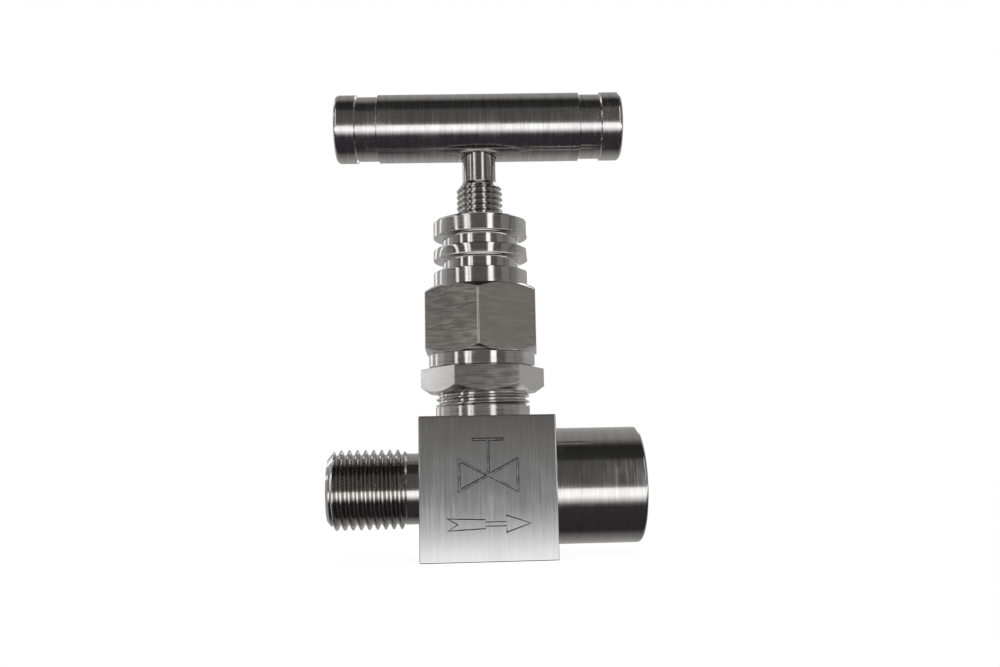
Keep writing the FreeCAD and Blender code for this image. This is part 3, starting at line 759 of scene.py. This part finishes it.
for face in bonnet.data.polygons:
    is_upright = abs(face.normal.z) < 0.05
    outside = math.hypot(face.center.x, face.center.y) > ring_r + clear_of_rings
    if is_upright and outside and hex_low < face.center.z < hex_high:
        face.material_index = on_hexagon
finish_mesh(bonnet)
in_place(bonnet, "body", "bonnet_steel", "bonnet")


# ============================================================================================
# Handle bar. Round stainless bar with a groove turned near each end and its ends rounded over,
# polished along its length in a lathe, then drilled from below for the stem.
# ============================================================================================
bar_r, bar_half = 5.88, 24.7
end_band, groove_width, groove_depth, groove_edge = 3.75, 3.45, 0.34, 0.2
end_round = 0.7
groove_out = bar_half - end_band
groove_in = groove_out - groove_width
half_outline = [(bar_r, groove_in - groove_edge), (bar_r - groove_depth, groove_in),
                (bar_r - groove_depth, groove_out), (bar_r, groove_out + groove_edge)]
for step in range(round_steps + 1):
    angle = step / round_steps * math.pi / 2
    half_outline.append((bar_r - end_round + end_round * math.cos(angle),
                         bar_half - end_round + end_round * math.sin(angle)))
bar_outline = [(r, -x) for r, x in reversed(half_outline)] + half_outline
handle = turned("t_bar", bar_outline, sides=192)
lay_along(handle, 1, 0)
stem_hole_r, stem_hole_top = 3.05, 2.6
hole_break, hole_lead = 0.4, 0.55
combine(handle, turned("stem_hole", [
    (stem_hole_r + hole_break + hole_lead, -bar_r - hole_lead), (stem_hole_r, hole_break - bar_r),
    (stem_hole_r, stem_hole_top), (0.1, stem_hole_top + 0.01)], sides=96), "DIFFERENCE")
screw_r = 2.0
tapped_r = screw_r + 0.05
screw_hole = turned("screw_hole", [(tapped_r, 0), (tapped_r, bar_r - 0.45),
                                   (screw_r + 0.9, bar_r + 0.4)], sides=64)
screw_hole.rotation_euler.x = -math.pi / 2
make_active(screw_hole)
bpy.ops.object.transform_apply(rotation=True)
combine(handle, screw_hole, "DIFFERENCE")
handle.data.materials.append(
    cut_steel("handle_polished_steel", (0.66, 0.65, 0.65), (0.44, 0.43, 0.43), 0.1, lines_round_x,
              line_depth=0.000004, smudge=0.1))


def set_on_stem(piece):
    """Turn a piece with the bar and lift it to the bar's height."""
    make_active(piece)
    piece.rotation_euler.z = handle_turn
    piece.location.z = handle_z
    bpy.ops.object.transform_apply(location=True, rotation=True)


set_on_stem(handle)
finish_mesh(handle)
in_place(handle, "stem", "handle_steel", "handle_bar")


# ============================================================================================
# Set screw. An M4 cup-point socket screw in dark alloy steel, screwed into the back of the bar
# until it bears on the stem's flat.
# ============================================================================================
screw_start, screw_end = flat_y + 0.02, bar_r - 0.78
screw_side_r, cup_edge, screw_edge = screw_r - 0.05, 0.45, 0.25
set_screw = turned("socket_set_screw", [
    (screw_side_r - cup_edge, screw_start), (screw_side_r, screw_start + cup_edge),
    (screw_side_r, screw_end - screw_edge), (screw_side_r - screw_edge, screw_end)], sides=64)
socket_corner_r, socket_floor = 2.0 / math.sqrt(3), screw_end - 1.4
combine(set_screw, turned("hex_socket", [
    (0.1, socket_floor - 0.3), (socket_corner_r, socket_floor), (socket_corner_r, screw_end + 0.5)],
    sides=6), "DIFFERENCE")
combine(set_screw, turned("socket_mouth", [
    (0.9, screw_end - screw_edge), (1.4, screw_end + screw_edge)], sides=48), "DIFFERENCE")
set_screw.rotation_euler.x = -math.pi / 2
make_active(set_screw)
bpy.ops.object.transform_apply(rotation=True)
set_on_stem(set_screw)
set_screw.data.materials.append(
    cut_steel("screw_dark_steel", (0.2, 0.2, 0.21), (0.11, 0.11, 0.12), 0.34, (2000, 2000, 2000)))
finish_mesh(set_screw)
in_place(set_screw, "stem", "screw_steel", "handle_set_screw")


# ============================================================================================
# The white table under the valve, which glows a little so that it stays even, and is not seen
# in the steel.
# ============================================================================================
bpy.ops.mesh.primitive_plane_add(size=3, location=(0, 0, 0))
floor = bpy.context.object
floor.name = "white_table"
floor.visible_glossy = False
paper = bpy.data.materials.new("white_paper")
paper.use_nodes = True
tree = paper.node_tree
shader = tree.nodes["Principled BSDF"]
grain = add_noise(tree, tree.nodes.new("ShaderNodeTexCoord").outputs["Object"], 60.0, 3.0)
shade = tree.nodes.new("ShaderNodeMix")
shade.data_type = "RGBA"
shade.inputs["A"].default_value = (0.045, 0.045, 0.045, 1)
shade.inputs["B"].default_value = (0.065, 0.065, 0.065, 1)
tree.links.new(grain, shade.inputs["Factor"])
tree.links.new(shade.outputs["Result"], shader.inputs["Base Color"])
shader.inputs["Roughness"].default_value = 1.0
shader.inputs["Specular IOR Level"].default_value = 0.0
shader.inputs["Emission Color"].default_value = (1, 1, 1, 1)
shader.inputs["Emission Strength"].default_value = 0.96
floor.data.materials.append(paper)


# ============================================================================================
# The studio. Long soft lights and black cards lie along the bar and give the steel its bands;
# upright windows at the sides give the hexagons and rings their bright edges.
# ============================================================================================
studio = bpy.data.worlds.new("white_studio")
bpy.context.scene.world = studio
studio.use_nodes = True
studio.cycles.sampling_method = "NONE"
tree = studio.node_tree
background = tree.nodes["Background"]
way = tree.nodes.new("ShaderNodeSeparateXYZ")
tree.links.new(tree.nodes.new("ShaderNodeTexCoord").outputs["Generated"], way.inputs["Vector"])
toward_viewer = add_math(tree, "MULTIPLY", way.outputs["Y"], -1.0)
full_light = 2.0


def light_ring(angle, stops):
    """Light that changes with an angle in degrees: (angle, strength, tint) stops."""
    share = add_range(tree, angle, -math.pi, math.pi)
    ramp = tree.nodes.new("ShaderNodeValToRGB")
    tree.links.new(share, ramp.inputs["Fac"])
    marks = ramp.color_ramp.elements
    for stop, (degrees, strength, tint) in enumerate(stops):
        mark = marks[stop] if stop < 2 else marks.new(1.0)
        mark.position = (degrees + 180) / 360
        mark.color = (*(strength / full_light * part for part in tint), 1)
    return ramp.outputs["Color"]


neutral, warm, brown, plum = (1, 1, 1), (1, 0.99, 0.97), (1, 0.95, 0.91), (1, 0.9, 1.0)
over_bar = light_ring(add_math(tree, "ARCTAN2", way.outputs["Z"], toward_viewer), [
    (-180, 0.45, warm), (-150, 0.45, warm), (-130, 0.32, warm), (-115, 0.2, warm),
    (-102, 0.06, plum), (-97, 0.04, plum), (-42, 0.05, plum), (-36, 0.15, neutral),
    (-31, 0.6, neutral), (-26, 1.1, neutral), (-20, 1.75, neutral), (-11, 1.75, neutral),
    (-6, 1.5, neutral), (-4.5, 0.85, neutral), (-3.2, 0.36, neutral), (0, 0.25, warm),
    (3, 0.16, brown), (8, 0.13, brown), (48, 0.11, brown), (55, 0.04, neutral),
    (84, 0.03, neutral), (92, 0.12, warm), (105, 0.33, warm), (130, 0.4, warm),
    (165, 0.5, warm), (180, 0.45, warm)])
windows = []
soft_edge = 1
for centre, width, strength in ((-76, 14, 0.22), (-60, 6, 1.6), (-36.5, 7, 1.8), (-29, 4, 1.7),
                                (20.5, 12, 1.7), (57, 22, 0.26)):
    left, right = centre - width / 2, centre + width / 2
    windows += [(left - soft_edge, 0, neutral), (left + soft_edge, strength, neutral),
                (right - soft_edge, strength, neutral), (right + soft_edge, 0, neutral)]
windows.sort()
beside = light_ring(add_math(tree, "ARCSINE", way.outputs["X"], 0.0), windows)
sill = add_range(tree, way.outputs["Z"], -0.06, 0.0)
lintel = add_range(tree, way.outputs["Z"], 0.8, 0.72)
window_height = add_math(tree, "MULTIPLY", sill, lintel)
panes = tree.nodes.new("ShaderNodeVectorMath")
panes.operation = "SCALE"
tree.links.new(beside, panes.inputs[0])
tree.links.new(window_height, panes.inputs["Scale"])
side_light = 0.26
side_wall = add_range(tree, add_math(tree, "ABSOLUTE", way.outputs["X"], 0.0), 0.88, 0.97,
                      0.0, side_light / full_light)
lit_bands = tree.nodes.new("ShaderNodeVectorMath")
lit_bands.operation = "MAXIMUM"
tree.links.new(over_bar, lit_bands.inputs[0])
tree.links.new(side_wall, lit_bands.inputs[1])
seen_in_steel = tree.nodes.new("ShaderNodeVectorMath")
seen_in_steel.operation = "MAXIMUM"
tree.links.new(lit_bands.outputs["Vector"], seen_in_steel.inputs[0])
tree.links.new(panes.outputs["Vector"], seen_in_steel.inputs[1])
ray = tree.nodes.new("ShaderNodeLightPath")
plain = add_math(tree, "MAXIMUM", ray.outputs["Is Camera Ray"], ray.outputs["Is Diffuse Ray"])
seen = tree.nodes.new("ShaderNodeMix")
seen.data_type = "RGBA"
seen.inputs["B"].default_value = (1 / full_light, 1 / full_light, 1 / full_light, 1)
tree.links.new(plain, seen.inputs["Factor"])
tree.links.new(seen_in_steel.outputs["Vector"], seen.inputs["A"])
tree.links.new(seen.outputs["Result"], background.inputs["Color"])
background.inputs["Strength"].default_value = full_light
bpy.context.scene.view_settings.view_transform = "Standard"


# ============================================================================================
# The camera, low in front of the block and tipped up towards the handle.
# ============================================================================================
lens = bpy.data.cameras.new("close_camera")
lens.lens = 35.91
lens.clip_start = 0.001
camera = bpy.data.objects.new("close_camera", lens)
bpy.context.scene.collection.objects.link(camera)
camera_place = (-0.0091, -0.16891, 0.01637)
camera_turn, camera_tip, camera_lean = -0.072, 0.122, -0.02
camera.matrix_world = (Matrix.Translation(camera_place)
                       @ Matrix.Rotation(camera_turn, 4, "Z")
                       @ Matrix.Rotation(math.pi / 2 + camera_tip, 4, "X")
                       @ Matrix.Rotation(camera_lean, 4, "Z"))
bpy.context.scene.camera = camera
